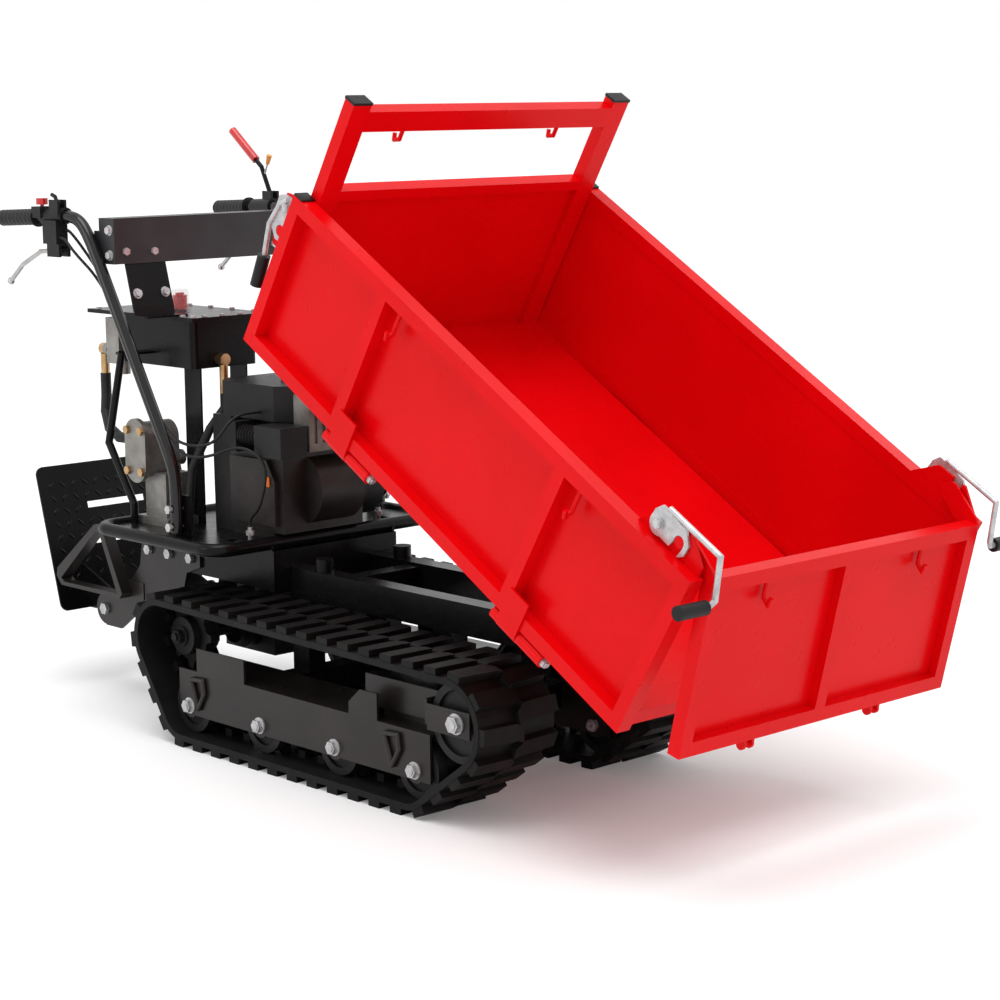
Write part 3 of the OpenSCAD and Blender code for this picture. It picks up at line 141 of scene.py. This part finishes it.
# Chassis: welded rails, deck plate with a round tube rim, and side plates that carry the gearbox.
# All of it is mild steel with a black powder coat, whose baked film has a faint orange peel.
def surface(name, tones, mottle, rough, rough_grain, bump, bump_grain, **shader):
    """A finish on Object coordinates: two close tones in soft clouds, uneven gloss and a fine relief."""
    mat = bpy.data.materials.new(name)
    mat.use_nodes = True
    tree = mat.node_tree
    bsdf = tree.nodes["Principled BSDF"]
    for socket, value in shader.items():
        bsdf.inputs[socket.replace("_", " ")].default_value = value
    place = tree.nodes.new("ShaderNodeTexCoord")

    def noise(grain, detail):
        node = tree.nodes.new("ShaderNodeTexNoise")
        node.inputs["Scale"].default_value = grain
        node.inputs["Detail"].default_value = detail
        tree.links.new(place.outputs["Object"], node.inputs["Vector"])
        return node.outputs["Fac"]

    ramp = tree.nodes.new("ShaderNodeValToRGB")
    ramp.color_ramp.elements[0].position = 0.32
    ramp.color_ramp.elements[1].position = 0.68
    ramp.color_ramp.elements[0].color = (*tones[0], 1.0)
    ramp.color_ramp.elements[1].color = (*tones[1], 1.0)
    tree.links.new(noise(mottle, 3.0), ramp.inputs["Fac"])
    tree.links.new(ramp.outputs["Color"], bsdf.inputs["Base Color"])
    gloss = tree.nodes.new("ShaderNodeMapRange")
    gloss.inputs["To Min"].default_value = rough[0]
    gloss.inputs["To Max"].default_value = rough[1]
    tree.links.new(noise(rough_grain, 2.0), gloss.inputs["Value"])
    tree.links.new(gloss.outputs["Result"], bsdf.inputs["Roughness"])
    relief = tree.nodes.new("ShaderNodeBump")
    relief.inputs["Strength"].default_value = bump[0]
    relief.inputs["Distance"].default_value = bump[1]
    tree.links.new(noise(bump_grain, 2.0), relief.inputs["Height"])
    tree.links.new(relief.outputs["Normal"], bsdf.inputs["Normal"])
    return mat


def dress(mat, *names):
    """Gives CAD nodes a finish."""
    for name in names:
        mesh = frame["nodes"][name].data
        mesh.materials.clear()
        mesh.materials.append(mat)


black_coat = surface(
    "black_coat", [(0.0030, 0.0030, 0.0033), (0.0062, 0.0062, 0.0067)], 7, (0.20, 0.32), 40,
    (0.10, 0.0005), 420, Specular_IOR_Level=0.14,
)
dress(black_coat, "main_frame", "engine_deck", "oil_tank", "tank_lid", "stays", "tip_cylinder")
dark_coat = surface(
    "dark_coat", [(0.011, 0.0086, 0.0079), (0.021, 0.0168, 0.0157)], 9, (0.24, 0.36), 30,
    (0.10, 0.0005), 420, Specular_IOR_Level=0.32,
)
dress(dark_coat, "rear_side_plates", "track_frame_right", "track_frame_left", "idler_yokes")
cast_coat = surface(
    "cast_coat", [(0.008, 0.008, 0.008), (0.018, 0.0175, 0.017)], 16, (0.40, 0.58), 50,
    (0.45, 0.0012), 180, Specular_IOR_Level=0.22,
)
dress(cast_coat, "gearbox")


# Tracks: endless rubber belts with moulded lugs, run over cast wheels on plain axles.
# The rubber is new, near black, and shows the slightly waxy face that it left the mould with.
belt_rubber = surface(
    "belt_rubber", [(0.0042, 0.0041, 0.0041), (0.0098, 0.0094, 0.0091)], 14, (0.44, 0.62), 60,
    (0.30, 0.0007), 520, Specular_IOR_Level=0.14,
)
dress(belt_rubber, "track_belt_right", "track_belt_left")
dress(
    cast_coat, "drive_sprocket_right", "drive_sprocket_left", "idler_wheels",
    "road_rollers_1", "road_rollers_2", "road_rollers_3", "road_rollers_4",
)


# Bolts, axles and hinge pins: turned or headed steel, screwed or pressed into the frame and the bed.
# The zinc plating is bright when new, and clouds a little from part to part.
zinc = surface(
    "zinc", [(0.42, 0.42, 0.43), (0.60, 0.60, 0.61)], 60, (0.20, 0.36), 90,
    (0.12, 0.0004), 600, Metallic=0.5,
)
dress(zinc, "chassis_bolts", "hinge_bolts")


# Engine: an aluminium crankcase and finned cylinder in dark paint, with a moulded cowl, fuel tank
# and air cleaner. The muffler guard is pressed sheet that heat has dulled.
engine_paint = surface(
    "engine_paint", [(0.012, 0.010, 0.009), (0.028, 0.023, 0.021)], 12, (0.32, 0.50), 45,
    (0.40, 0.0009), 240, Specular_IOR_Level=0.26,
)
dress(engine_paint, "engine_block")
grained_plastic = surface(
    "grained_plastic", [(0.006, 0.006, 0.0065), (0.013, 0.013, 0.0135)], 18, (0.36, 0.50), 80,
    (0.35, 0.0005), 900, Specular_IOR_Level=0.22,
)
dress(grained_plastic, "engine_cowl", "fuel_tank", "air_cleaner", "lever_perches", "throttle_lever")
heated_sheet = surface(
    "heated_sheet", [(0.13, 0.115, 0.10), (0.27, 0.25, 0.23)], 20, (0.38, 0.58), 60,
    (0.25, 0.0006), 300, Metallic=0.9,
)
dress(heated_sheet, "muffler")


def piece(bm, name, mat, body):
    """Turns a bmesh into a finished piece that rides on a body."""
    mesh = bpy.data.meshes.new(name)
    bmesh.ops.recalc_face_normals(bm, faces=bm.faces)
    bm.to_mesh(mesh)
    bm.free()
    mesh.materials.append(mat)
    mesh.shade_smooth()
    mesh.set_sharp_from_angle(angle=math.radians(35))
    obj = bpy.data.objects.new(name, mesh)
    scene.collection.objects.link(obj)
    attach(obj, body)
    return obj


def rod(bm, start, end, radius, segments=24, tip=None):
    """Adds a capped round bar between two points, tapered where a tip radius is given."""
    start, end = Vector(start), Vector(end)
    span = end - start
    made = bmesh.ops.create_cone(
        bm, cap_ends=True, segments=segments, radius1=radius,
        radius2=radius if tip is None else tip, depth=span.length,
    )["verts"]
    turn = span.to_track_quat("Z", "Y").to_matrix()
    bmesh.ops.rotate(bm, cent=(0, 0, 0), matrix=turn, verts=made)
    bmesh.ops.translate(bm, vec=(start + end) / 2, verts=made)


tag_orange = surface(
    "tag_orange", [(0.72, 0.15, 0.010), (0.85, 0.22, 0.020)], 60, (0.35, 0.50), 90,
    (0.15, 0.0003), 500,
)
tag_place = Vector((-0.3025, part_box("engine_block")[0].y, 0.518))
tag_size = (0.011, 0.004, 0.020)
tag_edge = 0.0012
tag_bm = bmesh.new()
bmesh.ops.create_cube(tag_bm, size=1.0)
bmesh.ops.scale(tag_bm, vec=tag_size, verts=tag_bm.verts)
bmesh.ops.bevel(
    tag_bm, geom=tag_bm.edges[:], offset=tag_edge, offset_type="OFFSET", segments=3,
    profile=0.5, affect="EDGES", material=-1,
)
bmesh.ops.translate(tag_bm, vec=tag_place - Vector((0, tag_size[1] / 2, 0)), verts=tag_bm.verts)
piece(tag_bm, "dipstick_tag", tag_orange, "chassis")


# Hydraulics: a gear pump and spool valve as cast, brass-coloured hose ends, rubber hoses
# and a clear filler cup with a red insert on the tank's screwed lid.
bare_casting = surface(
    "bare_casting", [(0.20, 0.19, 0.175), (0.34, 0.33, 0.31)], 22, (0.36, 0.55), 70,
    (0.60, 0.0010), 260, Metallic=0.75,
)
dress(bare_casting, "hydraulic_pump", "valve_block")
bronze_plate = surface(
    "bronze_plate", [(0.42, 0.25, 0.11), (0.62, 0.42, 0.22)], 45, (0.24, 0.42), 80,
    (0.15, 0.0004), 500, Metallic=1.0,
)
dress(bronze_plate, "hose_fittings")
soft_rubber = surface(
    "soft_rubber", [(0.006, 0.006, 0.0065), (0.013, 0.013, 0.0135)], 30, (0.46, 0.62), 90,
    (0.30, 0.0005), 700, Specular_IOR_Level=0.30,
)
dress(soft_rubber, "hydraulic_hoses", "control_cables", "grips")
filler_red = surface(
    "filler_red", [(0.70, 0.012, 0.014), (0.82, 0.020, 0.022)], 40, (0.22, 0.34), 60,
    (0.05, 0.0003), 300,
)
dress(filler_red, "filler_cap")
clear_plastic = surface(
    "clear_plastic", [(0.86, 0.86, 0.87), (0.94, 0.94, 0.94)], 40, (0.04, 0.09), 60,
    (0.03, 0.0002), 200, Alpha=0.12,
)
cap_low, cap_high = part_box("filler_cap")
cap_middle = (cap_low + cap_high) / 2
cap_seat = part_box("tank_lid")[1].z
cup_top = cap_high.z
cup_radius = 0.021
cup_wall = 0.0022
cup_shoulder = 0.005
cup_shoulder_mid = 0.0015
cup_inner_shoulder = 0.006
flange_radius = 0.023
flange_top = cap_seat + 0.005
cup_outside = [
    (cup_radius - cup_wall, cap_seat), (flange_radius, cap_seat),
    (flange_radius, flange_top), (cup_radius, flange_top),
    (cup_radius, cup_top - cup_shoulder), (cup_radius - cup_shoulder_mid, cup_top - cup_shoulder_mid),
    (cup_radius - cup_shoulder, cup_top), (0.0, cup_top),
]
cup_inside = [
    (0.0, cup_top - cup_wall), (cup_radius - cup_inner_shoulder, cup_top - cup_wall),
    (cup_radius - cup_wall, cup_top - cup_inner_shoulder), (cup_radius - cup_wall, cap_seat),
]
cup_bm = bmesh.new()
for profile in (cup_outside, cup_inside):
    ring = [cup_bm.verts.new((cap_middle.x + r, cap_middle.y, z)) for r, z in profile]
    edges = [cup_bm.edges.new(pair) for pair in zip(ring, ring[1:])]
    bmesh.ops.spin(
        cup_bm, geom=ring + edges, cent=(cap_middle.x, cap_middle.y, 0), axis=(0, 0, 1),
        angle=2 * math.pi, steps=40, use_merge=True,
    )
bmesh.ops.remove_doubles(cup_bm, verts=cup_bm.verts, dist=0.00002)
cup = piece(cup_bm, "filler_cup", clear_plastic, "chassis")
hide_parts("filler_cap")
insert_foot, insert_shoulder, insert_top = [
    Vector((cap_middle.x, cap_middle.y, cap_seat + rise)) for rise in (0.002, 0.031, 0.036)
]
insert_radius = 0.0150
insert_stem = 0.0090
insert_bm = bmesh.new()
rod(insert_bm, insert_foot, insert_shoulder, insert_radius, 40)
rod(insert_bm, insert_shoulder, insert_top, insert_stem, 40)
piece(insert_bm, "filler_insert", filler_red, "chassis")


# Handlebar: bent steel tubes in gloss black and a folded console channel in satin graphite powder coat.
# Moulded rubber grips with shallow finger waves and a collar are pushed onto the ends of the tubes.
graphite_coat = surface(
    "graphite_coat", [(0.016, 0.016, 0.018), (0.030, 0.030, 0.033)], 8, (0.32, 0.46), 50,
    (0.18, 0.0006), 480, Specular_IOR_Level=0.38,
)
dress(graphite_coat, "console")
tube_gloss = surface(
    "tube_gloss", [(0.0050, 0.0045, 0.0043), (0.0105, 0.0094, 0.0090)], 10, (0.10, 0.18), 40,
    (0.06, 0.0004), 420, Specular_IOR_Level=0.40,
)
dress(tube_gloss, "handlebar_right", "handlebar_left")


def smooth_path(points, reach, steps=8):
    """Rounds a route's corners, each by a curve that begins and ends at most reach from the corner."""
    points = [Vector(p) for p in points]
    path = [points[0]]
    for before, corner, after in zip(points, points[1:], points[2:]):
        back, ahead = before - corner, after - corner
        start = corner + back.normalized() * min(reach, back.length * 0.49)
        end = corner + ahead.normalized() * min(reach, ahead.length * 0.49)
        for i in range(steps + 1):
            t = i / steps
            path.append(start * (1 - t) ** 2 + corner * (2 * t * (1 - t)) + end * t ** 2)
    path.append(points[-1])
    return path


def tube(bm, path, radius, sides):
    """Adds a closed round bar along a path: a disc at its start, extruded ring by ring without twist."""
    heading = (path[1] - path[0]).normalized()
    ring = bmesh.ops.create_circle(bm, cap_ends=True, segments=sides, radius=radius)["verts"]
    bmesh.ops.rotate(bm, cent=(0, 0, 0), matrix=heading.to_track_quat("Z", "Y").to_matrix(), verts=ring)
    bmesh.ops.translate(bm, vec=path[0], verts=ring)
    rim = list({edge for vert in ring for edge in vert.link_edges})
    for i in range(1, len(path)):
        grown = bmesh.ops.extrude_edge_only(bm, edges=rim)["geom"]
        ring = [part for part in grown if isinstance(part, bmesh.types.BMVert)]
        fresh = set(ring)
        edges = [part for part in grown if isinstance(part, bmesh.types.BMEdge)]
        rim = [edge for edge in edges if fresh.issuperset(edge.verts)]
        ahead = (path[min(i + 1, len(path) - 1)] - path[i - 1]).normalized()
        bmesh.ops.translate(bm, vec=path[i] - path[i - 1], verts=ring)
        bmesh.ops.rotate(bm, cent=path[i], matrix=heading.rotation_difference(ahead).to_matrix(), verts=ring)
        heading = ahead
    bmesh.ops.edgeloop_fill(bm, edges=rim)


bar_route = [
    (-0.44645, -0.262, 0.415), (-0.44645, -0.262, 0.525), (-0.45945, -0.262, 0.560),
    (-0.71645, -0.262, 0.986), (-0.74645, -0.263, 1.020), (-0.78245, -0.266, 1.030),
    (-1.00945, -0.280, 1.020),
]
bar_bend = 0.045
bar_radius = 0.0125
for side, sign in (("right", 1), ("left", -1)):
    bar_bm = bmesh.new()
    tube(bar_bm, smooth_path([(x, y * sign, z) for x, y, z in bar_route], bar_bend), bar_radius, 32)
    bar = piece(bar_bm, "handlebar_tube_" + side, tube_gloss, "chassis")
    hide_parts("handlebar_" + side)
grip_length = 0.120
grip_radius = 0.0166
grip_wave = 0.0004
wave_count = 9
wave_steps = 72
collar_radius = 0.021
collar_end = grip_length + 0.004
grip_bore = 0.0126
tip_round = [(0.0, -0.006), (0.0095, -0.006), (0.0135, -0.0050), (0.0158, -0.0025)]
wave_turn = 2 * math.pi * wave_count / wave_steps
waves = [
    (grip_radius + grip_wave * math.cos(wave_turn * k), grip_length * k / wave_steps)
    for k in range(wave_steps + 1)
]
collar = [
    (collar_radius, grip_length), (collar_radius, collar_end),
    (grip_bore, collar_end), (grip_bore, 0.0), (0.0, 0.0),
]
grip_bm = bmesh.new()
for sign in (1, -1):
    bend, tip = [Vector((x, y * sign, z)) for x, y, z in bar_route[-2:]]
    along = (bend - tip).normalized()
    across = along.orthogonal().normalized()
    outline = [grip_bm.verts.new(tip + along * d + across * r) for r, d in tip_round + waves + collar]
    edges = [grip_bm.edges.new(pair) for pair in zip(outline, outline[1:])]
    bmesh.ops.spin(
        grip_bm, geom=outline + edges, cent=tip, axis=along, angle=2 * math.pi, steps=36, use_merge=True,
    )
bmesh.ops.remove_doubles(grip_bm, verts=grip_bm.verts, dist=0.00002)
skins = piece(grip_bm, "grip_skins", soft_rubber, "chassis")
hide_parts("grips")
console_low, console_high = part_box("console")
console_screw_x = console_high.x - 0.015
console_screw_heights = (0.953, 1.003)
stay_face = Vector((0.962, 0, 0.271))
stay_screw_x, stay_screw_z = -0.63495, 0.875
stay_screw_sides = (-0.207, -0.139)
screw_washer = 0.0105
screw_washer_top = 0.0015
screw_head = 0.0080
screw_head_top = 0.0075
screws = [
    (Vector((console_screw_x, y, z)), Vector((0, math.copysign(1, y), 0)))
    for y in (console_low.y, console_high.y) for z in console_screw_heights
]
screws += [(Vector((stay_screw_x, y, stay_screw_z)), stay_face) for y in stay_screw_sides]
screw_bm = bmesh.new()
for foot, out in screws:
    rod(screw_bm, foot, foot + out * screw_washer_top, screw_washer, 28)
    rod(screw_bm, foot + out * screw_washer_top, foot + out * screw_head_top, screw_head, 6)
piece(screw_bm, "console_screws", zinc, "chassis")
chrome = surface(
    "chrome", [(0.40, 0.39, 0.385), (0.52, 0.51, 0.505)], 30, (0.06, 0.14), 60,
    (0.03, 0.0002), 400, Metallic=1.0,
)
dress(chrome, "clutch_lever_right", "clutch_lever_left", "tip_rod")
dress(black_coat, "drive_lever")
red_plastic = surface(
    "red_plastic", [(0.50, 0.008, 0.010), (0.66, 0.016, 0.018)], 50, (0.18, 0.30), 90,
    (0.10, 0.0003), 700, Coat_Weight=0.3, Coat_Roughness=0.1,
)
dress(red_plastic, "stop_knob", "drive_lever_sleeve")
knob_orange = surface(
    "knob_orange", [(0.66, 0.24, 0.040), (0.78, 0.33, 0.070)], 60, (0.25, 0.40), 90,
    (0.10, 0.0003), 500,
)
lock_foot = Vector((-0.8325, 0.274, 1.0930))
lock_neck = Vector((-0.8180, 0.274, 1.1240))
lock_tip = Vector((-0.8120, 0.274, 1.1390))
lock_wire = 0.0022
knob_foot = lock_neck - (lock_tip - lock_neck) * 0.25
knob_narrow = 0.0042
knob_wide = 0.0062
lock_bm = bmesh.new()
rod(lock_bm, lock_foot, lock_neck, lock_wire, 16)
piece(lock_bm, "drive_lock_wire", zinc, "drive_handle")
knob_bm = bmesh.new()
rod(knob_bm, knob_foot, lock_tip, knob_narrow, 20, knob_wide)
piece(knob_bm, "drive_lock_knob", knob_orange, "drive_handle")


# Control cables: thin sheathed cables that leave the lever perches, hang in slack bows round the drive
# column and end at the clutch rods and at the carburettor. Each is one smooth curve on the CAD route.
clutch_route = [
    (-790, -280, 985), (-772, -280, 985), (-745, -275, 956), (-708, -250, 910), (-672, -236, 850),
    (-600, -236, 720), (-520, -226, 600), (-462, -222, 560), (-380, -224, 566), (-316, -190, 596),
    (-262, -165, 560), (-290, -165, 470), (-326, -165, 445), (-326, -165, 427),
]
throttle_route = [
    (-790, -266, 1000), (-774, -266, 1000), (-752, -246, 960), (-690, -228, 880), (-600, -214, 690),
    (-540, -206, 600), (-470, -214, 580), (-370, -216, 590), (-345, -185, 650), (-345, -120, 650),
]
route_shift = -9.45
cable_bow = 1.0
cable_radius = 0.003
cable_bm = bmesh.new()
for route, sign in ((clutch_route, 1), (clutch_route, -1), (throttle_route, 1)):
    metres = [Vector((x + route_shift, y * sign, z)) / 1000 for x, y, z in route]
    tube(cable_bm, smooth_path(metres, cable_bow), cable_radius, 12)
cables = piece(cable_bm, "cable_runs", soft_rubber, "chassis")
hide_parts("control_cables")


# Operator platform: steel tread plate on two arms, folded up behind the machine.
# The raised lozenges are rolled into the standing face and stop short of the plate's edge.
dress(black_coat, "platform")
joint_place = {joint["name"]: Vector(joint.get("pos_m", (0, 0, 0))) for joint in frame["joints"]}
plate_lean = math.radians(15.6)
plate_hinge = joint_place["platform_fold"]
plate_at = Matrix.Translation(plate_hinge) @ Matrix.Rotation(-plate_lean, 4, "Y")
plate_face = -0.132
plate_low = 0.013
plate_depth = 0.319
plate_half = 0.190
plate_margin = 0.03
slot_heights = (0.157, 0.237)
slot_half = 0.092
slot_clear = 0.020
lozenge_step = 0.029
lozenge_long = 0.011
lozenge_wide = 0.0034
lozenge_high = 0.0014
lozenge_taper = 0.55
tread_bm = bmesh.new()
rows = int((plate_depth - plate_margin) / lozenge_step)
columns = int((2 * plate_half - plate_margin) / lozenge_step)
for row in range(rows):
    for column in range(columns):
        height = plate_low + plate_depth / 2 + (row - (rows - 1) / 2) * lozenge_step
        side = (column - (columns - 1) / 2) * lozenge_step
        if abs(side) < slot_half and min(abs(height - slot) for slot in slot_heights) < slot_clear:
            continue
        turn = math.radians(45 if (row + column) % 2 else -45)
        made = bmesh.ops.create_cone(
            tread_bm, cap_ends=True, segments=8, radius1=1.0, radius2=lozenge_taper, depth=1.0,
        )["verts"]
        bmesh.ops.scale(tread_bm, vec=(lozenge_long, lozenge_wide, lozenge_high), verts=made)
        bmesh.ops.rotate(tread_bm, cent=(0, 0, 0), matrix=Matrix.Rotation(turn, 3, "Z"), verts=made)
        bmesh.ops.rotate(tread_bm, cent=(0, 0, 0), matrix=Matrix.Rotation(math.pi / 2, 3, "Y"), verts=made)
        bmesh.ops.translate(tread_bm, vec=(plate_face + lozenge_high / 2, side, height), verts=made)
bmesh.ops.transform(tread_bm, matrix=plate_at, verts=tread_bm.verts)
piece(tread_bm, "platform_lozenges", black_coat, "step_platform")


# Bed: welded square tube and sheet in bright red gloss powder coat, tipped about its rear pivot.
# Drop sides and tailgate are the same; plastic plugs close the open ends of the tubes.
red_coat = surface(
    "red_coat", [(0.70, 0.0005, 0.0022), (0.78, 0.0009, 0.0036)], 5, (0.24, 0.34), 30,
    (0.04, 0.0003), 150, Specular_IOR_Level=0.12,
)
dress(red_coat, "bed_floor", "headboard", "side_wall_right", "side_wall_left", "tailgate")
dress(grained_plastic, "headboard_caps")
bed_tip = math.radians(30.8)
pivot_along = 0.8584
pivot_above = -0.0618
bed_at = (
    Matrix.Translation(joint_place["bed_tip"])
    @ Matrix.Rotation(bed_tip, 4, "Y")
    @ Matrix.Translation((-pivot_along, 0, -pivot_above))
)
wall_height = 0.307
wall_out = 0.3685
wall_in = 0.3385
plug_length = 0.025
plug_rise = 0.004
plug_edge = 0.0012
for side, sign in (("right", -1), ("left", 1)):
    plug_bm = bmesh.new()
    bmesh.ops.create_cube(plug_bm, size=1.0)
    bmesh.ops.scale(plug_bm, vec=(plug_length, wall_out - wall_in, plug_rise), verts=plug_bm.verts)
    bmesh.ops.bevel(
        plug_bm, geom=plug_bm.edges[:], offset=plug_edge, offset_type="OFFSET", segments=3,
        profile=0.5, affect="EDGES", material=-1,
    )
    bmesh.ops.translate(
        plug_bm,
        vec=(plug_length / 2, sign * (wall_out + wall_in) / 2, wall_height + plug_rise / 2),
        verts=plug_bm.verts,
    )
    bmesh.ops.transform(plug_bm, matrix=bed_at, verts=plug_bm.verts)
    piece(plug_bm, "wall_plug_" + side, grained_plastic, "wall_" + side)


# Latches: zinc plated plates and bent rods with moulded black grips, each turning on a stud
# that a washer and a nylon-insert nut hold.
dress(zinc, "latch_front_right", "latch_front_left", "latch_rear_right", "latch_rear_left")
dress(
    grained_plastic, "latch_grip_front_right", "latch_grip_front_left",
    "latch_grip_rear_right", "latch_grip_rear_left",
)
latch_face = 0.3491
washer_radius = 0.0105
washer_thick = 0.0012
nut_radius = 0.0085
nut_thick = 0.006
thread_radius = 0.0054
thread_rise = 0.0011
for end in ("front", "rear"):
    for side, sign in (("right", -1), ("left", 1)):
        stud = joint_place["%s_latch_%s_lift" % (end, side)]
        nut_bm = bmesh.new()
        for segments, radius, start, thick in (
            (32, washer_radius, 0.0, washer_thick),
            (6, nut_radius, washer_thick, nut_thick),
            (24, thread_radius, washer_thick + nut_thick, thread_rise),
        ):
            made = bmesh.ops.create_cone(
                nut_bm, cap_ends=True, segments=segments, radius1=radius, radius2=radius, depth=thick,
            )["verts"]
            bmesh.ops.rotate(nut_bm, cent=(0, 0, 0), matrix=Matrix.Rotation(math.pi / 2, 3, "X"), verts=made)
            bmesh.ops.translate(
                nut_bm, vec=(stud.x, sign * (latch_face + start + thick / 2), stud.z), verts=made,
            )
        piece(nut_bm, "latch_nut_%s_%s" % (end, side), zinc, "wall_" + side)
